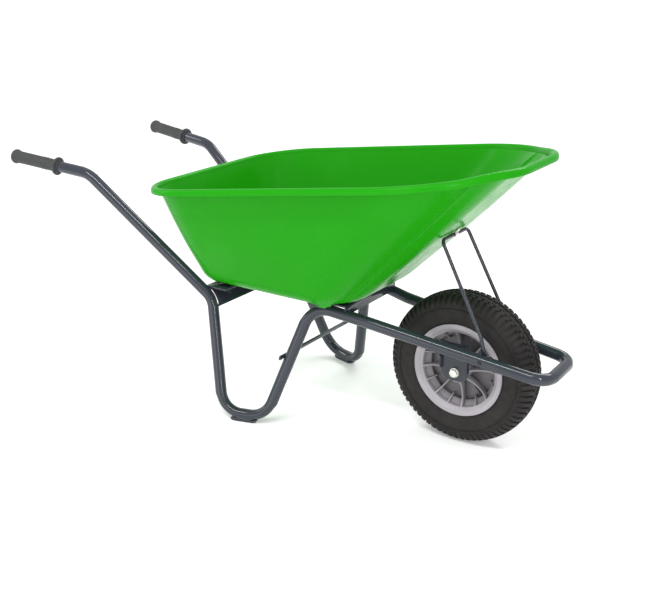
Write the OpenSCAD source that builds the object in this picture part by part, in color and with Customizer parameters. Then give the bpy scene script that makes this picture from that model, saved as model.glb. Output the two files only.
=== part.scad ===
// Garden wheelbarrow: a moulded plastic tray bolted to a bent tube frame, with one pneumatic wheel.
// Lengths are in millimetres. +X points forwards to the wheel, +Y to the left, +Z up. The origin is
// on the ground, under the middle of the overall length. Heights are above the ground. Sizes called
// x are measured forwards from the axle, so most of them are negative.

/* [Wheel] */
// Outside diameter of the tyre
tyre_d = 390; // [330:1:400]
// Width of the tyre over its sidewalls
tyre_w = 98; // [80:1:100]
// Outside diameter of the rim flanges
rim_d = 239; // [220:1:250]
// Width of the rim over its flanges
rim_w = 86; // [76:1:88]
// Outside diameter of the rim's hub
hub_d = 56; // [46:1:64]
// Length of the rim's hub
hub_l = 98; // [90:1:98]
// Number of long ribs, with a short rib between each two
rib_count = 8; // [5:1:10]
// Thickness of the rim's ribs
rib_t = 4; // [3:0.5:6]
// Diameter of the axle bolt
axle_d = 12; // [8:1:14]
// Outside diameter of the sleeve that the wheel turns on
sleeve_d = 20; // [18:1:24]

/* [Frame tube] */
// Outside diameter of the frame tube
tube_d = 30; // [25:1:34]
// Wall of the frame tube
tube_wall = 1.5; // [1:0.1:3]
// Centre of the grip's round end: distance behind the axle
grip_x = -1267; // [-1400:1:-1150]
// Centre of the grip's round end: distance from the centre plane
grip_y = 283; // [240:1:330]
// Height of the grip's round end
grip_z = 622; // [540:1:720]
// Bend from the handle down to the tray: distance behind the axle
shoulder_x = -1021; // [-1060:1:-980]
// The same bend: distance from the centre plane
shoulder_y = 250; // [220:1:290]
// The same bend: height
shoulder_z = 598; // [520:1:680]
// Bend at the top of the rear leg: distance behind the axle
hip_x = -651.5; // [-680:0.5:-630]
// The same bend: distance from the centre plane
hip_y = 190; // [170:1:215]
// The same bend: height
hip_z = 297; // [280:1:310]
// Rear corner of the foot: distance behind the axle
heel_x = -569; // [-590:1:-550]
// Rear corner of the foot: distance from the centre plane
heel_y = 261; // [220:1:300]
// Front corner of the foot: distance behind the axle
toe_x = -452; // [-470:1:-440]
// Front corner of the foot: distance from the centre plane
toe_y = 228; // [200:1:260]
// Bend from the front strand of the leg to the rail: distance behind the axle
knee_x = -371; // [-385:1:-355]
// The same bend: distance from the centre plane
knee_y = 131; // [120:1:145]
// The same bend: height
knee_z = 318; // [300:1:335]
// Slight bend of the rail beside the front of the tray: distance behind the axle
waist_x = -229; // [-250:1:-200]
// The same bend: distance from the centre plane
waist_y = 108; // [100:1:118]
// The same bend: height
waist_z = 296; // [285:1:305]
// Front corner of the loop: distance from the centre plane
nose_y = 82; // [76:1:100]
// Height of the front loop above the axle
nose_rise = 43; // [30:1:60]
// Gap between the tyre and the front loop
nose_gap = 35; // [20:1:60]
// Centre line radius of the leg and handle bends
bend_r = 62; // [50:1:66]
// Centre line radius of the front loop's corners
loop_r = 42; // [38:1:60]

/* [Tray] */
// Distance of the rear wall's foot behind the axle
floor_rear_x = -706; // [-720:1:-695]
// Distance of the front wall's foot behind the axle
floor_front_x = -252; // [-270:1:-240]
// Half width of the tray at its floor
floor_y = 182; // [170:1:200]
// Outermost point of the rear lip, behind the axle
rim_rear_x = -817; // [-850:1:-790]
// Outermost point of the front lip, in front of the axle
rim_front_x = 167; // [120:1:200]
// Half width over the lip at the rear
rim_y = 323; // [300:1:360]
// Height of the lip's top at the rear
rim_z = 594; // [560:1:640]
// Rise of the lip towards the front, as a slope
rim_slope = 0.138; // [0.08:0.001:0.18]
// How far the walls swell out between the floor and the lip
tray_swell = 4; // [0:0.5:8]
// Wall of the tray
tray_wall = 4; // [3:0.5:6]
// Width that the rolled lip stands out from the wall
lip_w = 16; // [10:1:24]
// Depth of the rolled lip
lip_h = 17; // [10:1:24]

/* [Fittings] */
// Thickness of the pressed sheet parts
sheet_t = 4; // [3:0.5:5]
// Diameter of the front stay's rod
stay_d = 9; // [8:0.5:12]
// Height of the stay's top bar
stay_z = 527; // [480:1:560]
// Half length of the stay's top bar
stay_y = 66.5; // [50:0.5:80]
// Thickness of the wear pads under the feet
pad_t = 3; // [2:0.5:5]
// Outside diameter of the grips
grip_d = 34; // [32:1:40]
// Outside diameter of the grips' hand guards
guard_d = 50; // [44:1:60]
// Length from the grip's round end to its hand guard
grip_l = 143; // [120:1:160]
// Diameter of the bolts that hold the tray
bolt_d = 8; // [6:1:10]

/* [Hidden] */

// Clearances
weld_gap = 0.1;   // between pressed parts and the tube that they are welded to
seat_gap = 0.2;   // between parts that rest on one another
side_gap = 0.6;   // between the rails, which run a little inwards, and what is bolted to their sides
run_gap = 0.08;   // radial clearance of the bushes on the sleeve
bolt_gap = 0.5;   // diametral clearance of a bolt in its hole
lap = 1;          // how far a straight tube runs into a bend
lap_step = 0.08;  // how much smaller the straight tube is there

tube_r = tube_d / 2;
axle_z = tyre_d / 2;
foot_z = pad_t + tube_r;
nose_x = axle_z + nose_gap + tube_r;
nose_z = axle_z + nose_rise;

steel_blue = [0.16, 0.19, 0.22];
leaf_green = [0.20, 0.62, 0.12];
grip_grey = [0.36, 0.37, 0.38];
rim_grey = [0.72, 0.69, 0.72];
rubber_black = [0.10, 0.09, 0.09];
zinc = [0.80, 0.80, 0.76];
nylon = [0.90, 0.89, 0.84];

// ---------- Vectors and bends ----------

function unit(v) = v / norm(v);
function lerp(a, b, t) = a + (b - a) * t;
function mirror_y(p) = [p[0], -p[1], p[2]];
function turn(p, q, s) = acos(unit(q - p) * unit(s - q));
function tangent_len(p, q, s, rb) = rb * tan(turn(p, q, s) / 2);
function bend_normal(p, q, s) = unit(unit(s - q) - (unit(s - q) * unit(q - p)) * unit(q - p));
function bend_centre(p, q, s, rb) =
    q - unit(q - p) * tangent_len(p, q, s, rb) + bend_normal(p, q, s) * rb;
function bend_axis(p, q, s) = cross(-bend_normal(p, q, s), unit(q - p));

// Highest point of a bend's centre line
function bend_top(p, q, s, rb) =
    bend_centre(p, q, s, rb)[2] + rb * sqrt(1 - pow(bend_axis(p, q, s)[2], 2));

// Turns +Z to the direction u, at the point p
module aim(p, u) {
    translate(p)
        rotate([0, acos(u[2]), atan2(u[1], u[0])])
            children();
}

module straight(p, q, r)
    aim(p, unit(q - p))
        cylinder(r = r, h = norm(q - p), $fn = 48);

module bend(p, q, s, rb, r) {
    x = -bend_normal(p, q, s);
    y = unit(q - p);
    z = cross(x, y);
    o = bend_centre(p, q, s, rb);
    multmatrix([[x[0], y[0], z[0], o[0]], [x[1], y[1], z[1], o[1]], [x[2], y[2], z[2], o[2]], [0, 0, 0, 1]])
        rotate_extrude(angle = turn(p, q, s), $fn = 72)
            translate([rb, 0])
                circle(r = r, $fn = 48);
}

// A round bar along corner points, with a bend radius for each inner corner
module bent_bar(pts, radii, r) {
    last = len(pts) - 1;
    for (i = [0 : last - 1]) {
        u = unit(pts[i + 1] - pts[i]);
        a = i == 0 ? 0 : tangent_len(pts[i - 1], pts[i], pts[i + 1], radii[i]) - lap;
        b = i == last - 1 ? 0 : tangent_len(pts[i], pts[i + 1], pts[i + 2], radii[i + 1]) - lap;
        straight(pts[i] + u * a, pts[i + 1] - u * b, r - lap_step);
    }
    for (i = [1 : last - 1])
        bend(pts[i - 1], pts[i], pts[i + 1], radii[i], r);
}

module both_sides() {
    children();
    mirror([0, 1, 0])
        children();
}

module placed()
    translate([shift_x, 0, 0])
        children();

// ---------- The frame tube's corners, on the left ----------

grip_p = [grip_x, grip_y, grip_z];
shoulder_p = [shoulder_x, shoulder_y, shoulder_z];
hip_p = [hip_x, hip_y, hip_z];
heel_p = [heel_x, heel_y, foot_z];
toe_p = [toe_x, toe_y, foot_z];
knee_p = [knee_x, knee_y, knee_z];
waist_p = [waist_x, waist_y, waist_z];
nose_p = [nose_x, nose_y, nose_z];

grip_u = unit(shoulder_p - grip_p);
tube_end_in = 5;
tube_end_p = grip_p + grip_u * (tube_end_in + seat_gap);
waist_r = 2.5 * bend_r;

// Overall length, for the place of the origin
grip_end_r = grip_d / 2 + 3;
grip_end_l = 13;
rear_end_x = grip_x - norm([grip_end_l * grip_u[0], grip_end_r * sqrt(1 - pow(grip_u[0], 2))]);
front_end_x = nose_x + tube_r;
shift_x = -(rear_end_x + front_end_x) / 2;

left_pts = [tube_end_p, shoulder_p, hip_p, heel_p, toe_p, knee_p, waist_p, nose_p];
left_radii = [0, bend_r, bend_r, bend_r, bend_r, bend_r, waist_r, loop_r];
loop_pts = concat(left_pts, [for (i = [len(left_pts) - 1 : -1 : 0]) mirror_y(left_pts[i])]);
loop_radii = concat(left_radii, [for (i = [len(left_radii) - 1 : -1 : 0]) left_radii[i]]);
loop_n = len(loop_pts) - 1;
bore_pts = [for (i = [0 : loop_n])
    i == 0 ? loop_pts[0] - unit(loop_pts[1] - loop_pts[0])
    : i == loop_n ? loop_pts[loop_n] - unit(loop_pts[loop_n - 1] - loop_pts[loop_n])
    : loop_pts[i]];

// A point on the rail in front of the waist
function rail_at(x) = lerp(waist_p, nose_p, (x - waist_x) / (nose_x - waist_x));

// The room that a welded part leaves for the tube round some of its corners
module tube_room(from, to)
    both_sides()
        bent_bar([for (i = [from : to]) left_pts[i]], [for (i = [from : to]) left_radii[i]],
            tube_r + weld_gap);

module frame_tube() {
    color(steel_blue)
        placed()
            difference() {
                bent_bar(loop_pts, loop_radii, tube_r);
                bent_bar(bore_pts, loop_radii, tube_r - tube_wall);
                both_sides()
                    translate([stay_foot_x, foot_rail[1] - tube_d, foot_rail[2]])
                        rotate([-90, 0, 0])
                            cylinder(d = stay_bolt_d + bolt_gap, h = 2 * tube_d, $fn = 32);
            }
}

// ---------- Grips and feet ----------

grip_fit = 0.1;
guard_t = 6;
collar_l = 5;

// Half section of a grip: the round end is below z = 0, and the hand runs up to the guard
function grip_section() = let (r = grip_d / 2, e = grip_end_r, bore = tube_r + grip_fit) concat(
    [for (a = [90 : -10 : 0]) [e * cos(a), -grip_end_l * sin(a)]],
    [[e, 5], [e - 1, 8], [r, 12], [r - 0.8, 0.45 * grip_l], [r, grip_l - 14], [r + 2, grip_l - 6],
     [guard_d / 2 - 2, grip_l - 1],
     [guard_d / 2, grip_l + 1], [guard_d / 2, grip_l + guard_t - 2], [guard_d / 2 - 2, grip_l + guard_t],
     [r + 0.5, grip_l + guard_t], [r + 0.5, grip_l + guard_t + collar_l],
     [bore, grip_l + guard_t + collar_l], [bore, tube_end_in], [0, tube_end_in]]);

module grip()
    aim(grip_p, grip_u)
        rotate_extrude($fn = 64)
            polygon(grip_section());

module grip_left()
    color(grip_grey)
        placed()
            grip();

module grip_right()
    color(grip_grey)
        placed()
            mirror([0, 1, 0])
                grip();

pad_w = 20;
pad_flat = 48;
pad_l = 70;
pad_rise = 3;
pad_top = 9;

module foot_pad() {
    mid = (heel_p + toe_p) / 2;
    difference() {
        translate([mid[0], mid[1], 0])
            rotate([90, 0, atan2(toe_y - heel_y, toe_x - heel_x)])
                translate([0, 0, -pad_w / 2])
                    linear_extrude(pad_w)
                        polygon([[-pad_flat / 2, 0], [pad_flat / 2, 0], [pad_l / 2, pad_rise],
                            [pad_l / 2, pad_top], [-pad_l / 2, pad_top], [-pad_l / 2, pad_rise]]);
        bent_bar([hip_p, heel_p, toe_p, knee_p], [0, bend_r, bend_r, 0], tube_r + weld_gap);
    }
}

module foot_pad_left()
    color(steel_blue)
        placed()
            foot_pad();

module foot_pad_right()
    color(steel_blue)
        placed()
            mirror([0, 1, 0])
                foot_pad();

// ---------- Cross members under the tray ----------

// The tray rests on the front cross member, which lies on the rails' top bends
tray_z = bend_top(toe_p, knee_p, waist_p, bend_r) + tube_r + seat_gap + sheet_t;

// Turns an outline in X and Z into a bar along Y
module along_y(y0, y1)
    translate([0, y1, 0])
        rotate([90, 0, 0])
            linear_extrude(y1 - y0)
                children();

rear_web_x = hip_x - 21;
rear_web_l = 66;
rear_web_lean = 37;
rear_flange_l = 68;
rear_bolt_x = rear_web_x + 42;
rear_bolt_y = 112;
rear_hole_r = (bolt_d + bolt_gap) / 2;

// A flange under the tray and a web that leans along the bends of the rear legs
function rear_section() = let (
        w = [sin(rear_web_lean), -cos(rear_web_lean)],
        n = [cos(rear_web_lean), sin(rear_web_lean)],
        p = [rear_web_x, tray_z],
        q = p + w * rear_web_l,
        s = -sheet_t * (1 + n[1]) / w[1])
    [p, q, q + n * sheet_t, p + n * sheet_t + w * s, [rear_web_x + rear_flange_l, tray_z - sheet_t],
     [rear_web_x + rear_flange_l, tray_z]];

module rear_cross_member() {
    color(steel_blue)
        placed()
            difference() {
                along_y(-hip_y, hip_y)
                    polygon(rear_section());
                tube_room(1, 3);
                both_sides()
                    translate([rear_bolt_x, rear_bolt_y, tray_z - 2 * sheet_t])
                        cylinder(r = rear_hole_r, h = 3 * sheet_t, $fn = 32);
            }
}

front_member_x0 = knee_x - 1;
front_member_x1 = floor_front_x - 23;
front_flange_h = 25;
rear_flange_h = 14;
ear_l = 32;
ear_y = knee_y + 9;
ear_t = 3;
ear_h = 24;
front_bolt_x = (front_member_x0 + front_member_x1) / 2;
front_bolt_y = 76;

module front_cross_member() {
    color(steel_blue)
        placed()
            difference() {
                union() {
                    along_y(-waist_y - tube_r, waist_y + tube_r)
                        polygon([[front_member_x0, tray_z], [front_member_x1, tray_z],
                            [front_member_x1, tray_z - front_flange_h],
                            [front_member_x1 - sheet_t, tray_z - front_flange_h],
                            [front_member_x1 - sheet_t, tray_z - sheet_t],
                            [front_member_x0 + sheet_t, tray_z - sheet_t],
                            [front_member_x0 + sheet_t, tray_z - rear_flange_h],
                            [front_member_x0, tray_z - rear_flange_h]]);
                    translate([front_member_x0, -ear_y, tray_z - sheet_t])
                        cube([ear_l, 2 * ear_y, sheet_t]);
                    both_sides()
                        translate([front_member_x0, ear_y - ear_t, tray_z - ear_h])
                            cube([ear_l, ear_t, ear_h]);
                }
                tube_room(4, 7);
                both_sides()
                    translate([front_bolt_x, front_bolt_y, tray_z - 2 * sheet_t])
                        cylinder(r = rear_hole_r, h = 3 * sheet_t, $fn = 32);
            }
}

// ---------- Brace between the front strands of the legs ----------

brace_z = 177;
brace_h = 11;
brace_t = 5;
brace_over = 23;

module leg_brace() {
    strand = unit(knee_p - toe_p);
    at = lerp(toe_p, knee_p, (brace_z - foot_z) / (knee_z - foot_z));
    lean = atan2(strand[0], strand[2]);
    half = at[1] + brace_over;
    color(steel_blue)
        placed()
            translate([at[0], 0, at[2]])
                rotate([0, lean, 0])
                    translate([-tube_r - weld_gap - brace_t, -half, -brace_h / 2])
                        cube([brace_t, 2 * half, brace_h]);
}

// ---------- Tray ----------

// Each outline is the edge round six circles: [x, y, r], on the left from the rear to the front
rear_corner_r = 158;
nose_corner_r = 140;
nose_round_r = 292;
floor_corner_r = 60;
floor_nose_r = 80;
floor_front_r = 50;
floor_fillet = 38;
rim_taper = 15;
nose_round_x = 299;
nose_corner_y = 64.9;
floor_front_y = 92;
floor_nose_x = 100;

top_circles = [
    [rim_rear_x + rear_corner_r, rim_y - rear_corner_r, rear_corner_r - lip_w],
    [rim_front_x - nose_round_x, rim_y - rim_taper - nose_round_r, nose_round_r - lip_w],
    [rim_front_x - nose_corner_r, nose_corner_y, nose_corner_r - lip_w]
];
floor_circles = [
    [floor_rear_x + floor_corner_r, floor_y - floor_corner_r, floor_corner_r],
    [floor_front_x - floor_nose_x, floor_y - floor_nose_r, floor_nose_r],
    [floor_front_x - floor_front_r, floor_front_y, floor_front_r]
];
arc_steps = 7;

// The lip crowns a little behind its front end
rim_crown = 5;
rim_crown_x = 130;
rim_crown_l = 80;

function rim_top(x) = rim_z + (x - rim_rear_x) * rim_slope
    + rim_crown * pow(max(0, 1 - pow((x - rim_crown_x) / rim_crown_l, 2)), 2);

// Left circles, then the same on the right, round the outline from the rear left
function circles_at(t) = let (h = [for (i = [0 : 2]) lerp(floor_circles[i], top_circles[i], t)])
    concat(h, [for (i = [2 : -1 : 0]) [h[i][0], -h[i][1], h[i][2]]]);

// Direction of the outward normal where the edge leaves circle a for circle b, going clockwise
function leave_angle(a, b) =
    atan2(b[1] - a[1], b[0] - a[0]) + acos((a[2] - b[2]) / norm([b[0] - a[0], b[1] - a[1]]));

// The closed outline at a level t (0 at the floor, 1 at the lip), moved out by w
function outline(t, w) = let (c = circles_at(t), n = len(c)) [
    for (i = [0 : n - 1])
        let (
            a1 = leave_angle(c[i], c[(i + 1) % n]),
            a0 = leave_angle(c[(i + n - 1) % n], c[i]),
            span = (a0 - a1 + 720) % 360)
        for (k = [0 : arc_steps])
            let (a = a0 - span * k / arc_steps)
            [c[i][0] + (c[i][2] + w) * cos(a), c[i][1] + (c[i][2] + w) * sin(a)]
];

// The same outline in space, dz above its own level, which rises evenly from the floor to the lip
function ring(t, w, dz) = let (low = outline(t, w), high = outline(1, w)) [
    for (i = [0 : len(low) - 1]) [low[i][0], low[i][1], lerp(tray_z, rim_top(high[i][0]), t) + dz]
];

fillet_t = 0.13;
fillet_steps = 5;
swell_from = 0.34;
swell_to = 0.66;
lip_edge = 3;

// Levels of the outer skin, the lip and the inner skin, each [t, w, dz]
function skin_levels() = concat(
    [for (k = [0 : fillet_steps]) let (s = k / fillet_steps)
        [fillet_t * s * s, -floor_fillet * pow(1 - s, 2), 0]],
    [[swell_from, tray_swell, 0], [swell_to, tray_swell, 0], [1, 0, -lip_w * 0.6], [1, 1.5, -tray_wall],
     [1, lip_w - tray_wall - 2, -tray_wall],
     [1, lip_w - tray_wall, -tray_wall - 2], [1, lip_w - tray_wall, -lip_h], [1, lip_w, -lip_h],
     [1, lip_w, -lip_edge - 2], [1, lip_w - 1.2, -lip_edge + 1], [1, lip_w - lip_edge - 1, 0], [1, 1, 0],
     [1, -tray_wall * 0.7, -1.6], [1, -tray_wall, -lip_w * 0.5],
     [swell_to, tray_swell - tray_wall, 0], [swell_from, tray_swell - tray_wall, 0]],
    [for (k = [fillet_steps : -1 : 0]) let (s = k / fillet_steps)
        [fillet_t * s * s, -tray_wall - (floor_fillet - tray_wall) * pow(1 - s, 2), tray_wall * (1 - s)]]);

module tray_skin() {
    levels = skin_levels();
    rings = [for (l = levels) ring(l[0], l[1], l[2])];
    n = len(rings[0]);
    m = len(rings);
    points = [for (r = rings) for (p = r) p];
    sides = [for (j = [0 : m - 2]) for (i = [0 : n - 1])
        let (a = j * n + i, b = j * n + (i + 1) % n)
        for (f = [[a, b, b + n], [a, b + n, a + n]]) f];
    bottom = [for (i = [n - 1 : -1 : 0]) i];
    top = [for (i = [0 : n - 1]) (m - 1) * n + i];
    polyhedron(points, concat([bottom], sides, [top]), convexity = 6);
}

// The front wall is flat in the middle: its foot, its top, the direction up it and its outward normal
wall_foot = [floor_front_x, tray_z];
wall_top = [rim_front_x - lip_w, rim_top(rim_front_x - lip_w)];
wall_u = unit(wall_top - wall_foot);
wall_n = [wall_u[1], -wall_u[0]];
stay_off = stay_d / 2 + seat_gap;
stay_x = lerp(wall_foot, wall_top, (stay_z - tray_z) / (wall_top[1] - tray_z))[0] + tray_swell
    + stay_off / wall_n[0];

clip_bolt_d = 5;
clip_bolt_off = 14;
clip_t = 2;

// Puts children on the front wall's outer face, with +Z out of the wall, +Y up it and X across
module on_front_wall()
    multmatrix([[0, wall_u[0], wall_n[0], stay_x - wall_n[0] * stay_off],
        [1, 0, 0, 0],
        [0, wall_u[1], wall_n[1], stay_z - wall_n[1] * stay_off], [0, 0, 0, 1]])
        children();

module tray() {
    color(leaf_green)
        placed()
            difference() {
                tray_skin();
                both_sides() {
                    translate([rear_bolt_x, rear_bolt_y, tray_z - 1])
                        cylinder(r = rear_hole_r, h = tray_wall + 2, $fn = 32);
                    translate([front_bolt_x, front_bolt_y, tray_z - 1])
                        cylinder(r = rear_hole_r, h = tray_wall + 2, $fn = 32);
                }
                on_front_wall()
                    for (s = [-1, 1])
                        translate([0, s * clip_bolt_off, -2 * tray_wall])
                            cylinder(d = clip_bolt_d + bolt_gap, h = 4 * tray_wall, $fn = 32);
            }
}

// ---------- Front stay and its fixings ----------

stay_foot_x = 86;
stay_foot_w = 16;
stay_foot_t = 3.5;
stay_foot_l = 54;
stay_bend_h = 52;
stay_bend_r = 12;
stay_bolt_d = 6;
stay_nut_h = 5;
foot_rail = rail_at(stay_foot_x);
stay_foot_y = foot_rail[1] - tube_r - side_gap - stay_foot_t / 2;
stay_lean = 14;

stay_foot_p = [stay_foot_x, stay_foot_y, foot_rail[2]];
stay_kink_p = stay_foot_p + stay_bend_h * [-sin(stay_lean), 0, cos(stay_lean)];
stay_top_p = [stay_x, stay_y, stay_z];

module front_stay() {
    u = unit(stay_kink_p - stay_foot_p);
    start = stay_foot_p + u * (stay_foot_l / 2 - 8);
    pts = [start, stay_kink_p, stay_top_p, mirror_y(stay_top_p), mirror_y(stay_kink_p), mirror_y(start)];
    radii = [0, 3 * stay_bend_r, stay_bend_r, stay_bend_r, 3 * stay_bend_r, 0];
    color(steel_blue)
        placed()
            difference() {
                union() {
                    bent_bar(pts, radii, stay_d / 2);
                    both_sides()
                        translate(stay_foot_p)
                            rotate([0, -stay_lean, 0])
                                translate([-stay_foot_w / 2, -stay_foot_t / 2, -stay_foot_l / 2 + 13])
                                    cube([stay_foot_w, stay_foot_t, stay_foot_l]);
                }
                both_sides()
                    translate(stay_foot_p - [0, stay_foot_t, 0])
                        rotate([-90, 0, 0])
                            cylinder(d = stay_bolt_d + bolt_gap, h = 2 * stay_foot_t, $fn = 32);
            }
}

clip_w = 14;
clip_l = 2 * clip_bolt_off + 14;
clip_nut_h = 4;

module stay_clip() {
    color(zinc)
        placed()
            on_front_wall()
                difference() {
                    union() {
                        translate([-clip_w / 2, -clip_l / 2, seat_gap])
                            cube([clip_w, clip_l, clip_t]);
                        translate([-clip_w / 2, 0, stay_off])
                            rotate([0, 90, 0])
                                cylinder(r = stay_d / 2 + weld_gap + clip_t, h = clip_w, $fn = 48);
                    }
                    translate([-clip_w, 0, stay_off])
                        rotate([0, 90, 0])
                            cylinder(r = stay_d / 2 + weld_gap, h = 2 * clip_w, $fn = 48);
                    translate([-clip_w, -stay_d / 2 - weld_gap, -2 * stay_d])
                        cube([2 * clip_w, stay_d + 2 * weld_gap, 2 * stay_d + stay_off]);
                    translate([-clip_w, -clip_l, -2 * stay_d])
                        cube([2 * clip_w, 2 * clip_l, 2 * stay_d + seat_gap]);
                    for (s = [-1, 1])
                        translate([0, s * clip_bolt_off, -1])
                            cylinder(d = clip_bolt_d + bolt_gap, h = 3 * clip_t, $fn = 32);
                }
}

// A pan headed bolt whose head sits on z = 0 and whose shank runs down
module pan_bolt(d, shank) {
    translate([0, 0, -shank])
        cylinder(d = d, h = shank + 0.5, $fn = 32);
    rotate_extrude($fn = 48)
        polygon([[0, 0], [d, 0], [d, 0.25 * d], [0.8 * d, 0.5 * d], [0.35 * d, 0.62 * d], [0, 0.62 * d]]);
}

module hex_nut(d, af, h)
    difference() {
        cylinder(d = af / cos(30), h = h, $fn = 6);
        translate([0, 0, -1])
            cylinder(d = d + weld_gap, h = h + 2, $fn = 32);
    }

module stay_clip_bolts()
    color(zinc)
        placed()
            on_front_wall()
                for (s = [-1, 1])
                    translate([0, s * clip_bolt_off, seat_gap + clip_t])
                        pan_bolt(clip_bolt_d, tray_wall + clip_t + 8);

module stay_clip_nuts()
    color(zinc)
        placed()
            on_front_wall()
                for (s = [-1, 1])
                    translate([0, s * clip_bolt_off, -tray_wall * wall_n[0] - weld_gap - clip_nut_h])
                        hex_nut(clip_bolt_d, 8, clip_nut_h);

// ---------- Stay foot fixings ----------

// Turns +Z to point to the centre plane, at a point on the left
module facing_in(p)
    translate(p)
        rotate([90, 0, 0])
            children();

module stay_foot_bolts()
    color(steel_blue)
        placed()
            both_sides()
                facing_in(stay_foot_p - [0, stay_foot_t / 2, 0])
                    pan_bolt(stay_bolt_d, stay_foot_t + tube_d + 8);

module stay_foot_nuts()
    color(steel_blue)
        placed()
            both_sides()
                facing_in([stay_foot_x, foot_rail[1] + tube_r + side_gap + stay_nut_h, foot_rail[2]])
                    hex_nut(stay_bolt_d, 10, stay_nut_h);

// ---------- Axle brackets ----------

bracket_gap = tyre_w + 8;
bracket_t = 3;
bracket_w = 74;
bracket_corner = 26;
bracket_drop = 22;
bracket_flange = 14;

// Outline of the bracket's plate, with X along the barrow and Y up from the axle
function bracket_outline(top) = let (r = bracket_corner, x = bracket_w / 2, b = -bracket_drop) concat(
    [[-x, top], [-x, b + r]],
    [for (a = [190 : 10 : 260]) [-x + r + r * cos(a), b + r + r * sin(a)]],
    [[-x + r, b], [x - r, b]],
    [for (a = [280 : 10 : 350]) [x - r + r * cos(a), b + r + r * sin(a)]],
    [[x, b + r], [x, top]]);

module axle_bracket() {
    y0 = bracket_gap / 2;
    rail = rail_at(0);
    top = rail[2] - axle_z + 4;
    difference() {
        union() {
            translate([0, 0, axle_z])
                along_y(y0, y0 + bracket_t)
                    polygon(bracket_outline(top));
            for (x = [-bracket_w / 2, bracket_w / 2 - bracket_t])
                translate([x, 0, axle_z])
                    rotate([90, 0, 90])
                        linear_extrude(bracket_t)
                            polygon([[y0, 4], [y0 + bracket_flange, 10], [y0 + bracket_flange, 36],
                                [rail[1] - 4, top - 10], [rail[1] - 4, top], [y0, top]]);
        }
        tube_room_front();
        translate([0, y0 - 1, axle_z])
            rotate([-90, 0, 0])
                cylinder(d = axle_d + bolt_gap, h = bracket_t + 2, $fn = 48);
    }
}

module tube_room_front()
    straight(waist_p, nose_p, tube_r + weld_gap);

module axle_bracket_left()
    color(steel_blue)
        placed()
            axle_bracket();

module axle_bracket_right()
    color(steel_blue)
        placed()
            mirror([0, 1, 0])
                axle_bracket();

// ---------- Axle, sleeve and bushes ----------

washer_t = 2.5;
bracket_out = bracket_gap / 2 + bracket_t;
head_af = 19;
head_h = 7.5;
nut_h = 12;
thrust_t = 1.4;
bush_d = 28;
bush_l = 26;
bush_flange_d = 38;
bush_room_l = bush_l + 10 + 2 * seat_gap;
bush_flange_t = (bracket_gap - hub_l) / 2 - thrust_t - 3 * seat_gap;

// Puts children on the axle's line, with +Z to the left
module on_axle()
    translate([0, 0, axle_z])
        rotate([-90, 0, 0])
            children();

module ring_of(d_out, d_in, h)
    difference() {
        cylinder(d = d_out, h = h, $fn = 64);
        translate([0, 0, -1])
            cylinder(d = d_in, h = h + 2, $fn = 64);
    }

// The bolt's head is on the right, and its nut on the left
module axle_bolt()
    color(zinc)
        placed()
            on_axle() {
                translate([0, 0, -bracket_out - washer_t - 0.5])
                    cylinder(d = axle_d, h = 2 * (bracket_out + washer_t) + nut_h + 4, $fn = 48);
                translate([0, 0, -bracket_out - washer_t - head_h])
                    intersection() {
                        cylinder(d = head_af / cos(30), h = head_h, $fn = 6);
                        rotate_extrude($fn = 48)
                            polygon([[0, 0], [head_af / 2 - 1, 0], [head_af / 2 + 2.5, 2],
                                [head_af / 2 + 2.5, head_h], [0, head_h]]);
                    }
            }

module axle_nut()
    color(zinc)
        placed()
            on_axle()
                translate([0, 0, bracket_out + washer_t])
                    hex_nut(axle_d, head_af, nut_h);

module axle_washers()
    color(zinc)
        placed()
            on_axle()
                for (z = [-bracket_out - washer_t, bracket_out])
                    translate([0, 0, z])
                        ring_of(2 * axle_d, axle_d + bolt_gap, washer_t);

module axle_sleeve()
    color(zinc)
        placed()
            on_axle()
                translate([0, 0, -bracket_gap / 2])
                    ring_of(sleeve_d, axle_d + bolt_gap, bracket_gap);

module thrust_washers()
    color(zinc)
        placed()
            on_axle()
                for (z = [-bracket_gap / 2 + seat_gap, bracket_gap / 2 - seat_gap - thrust_t])
                    translate([0, 0, z])
                        ring_of(bush_flange_d, sleeve_d + 0.4, thrust_t);

module hub_bush()
    on_axle()
        translate([0, 0, hub_l / 2 - bush_l])
            difference() {
                union() {
                    cylinder(d = bush_d, h = bush_l, $fn = 64);
                    translate([0, 0, bush_l + 0.05])
                        cylinder(d = bush_flange_d, h = bush_flange_t, $fn = 64);
                    translate([0, 0, bush_l - 1])
                        cylinder(d = bush_d - 1, h = 2, $fn = 64);
                }
                translate([0, 0, -1])
                    cylinder(r = sleeve_d / 2 + run_gap, h = bush_l + bush_flange_t + 3, $fn = 64);
            }

module hub_bush_left()
    color(nylon)
        placed()
            hub_bush();

module hub_bush_right()
    color(nylon)
        placed()
            mirror([0, 1, 0])
                hub_bush();

// ---------- Rim ----------

flange_h = 17;
seat_t = 4;
well_drop = 12;
well_w = 26;
web_t = 5;
seat_r = rim_d / 2 - flange_h;
well_r = seat_r - well_drop;
first_rib = 7;
short_rib_l = 15;
rib_inset = 7;
short_rib_r = well_r - seat_t - short_rib_l + 2;
flange_t = 4;

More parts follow.
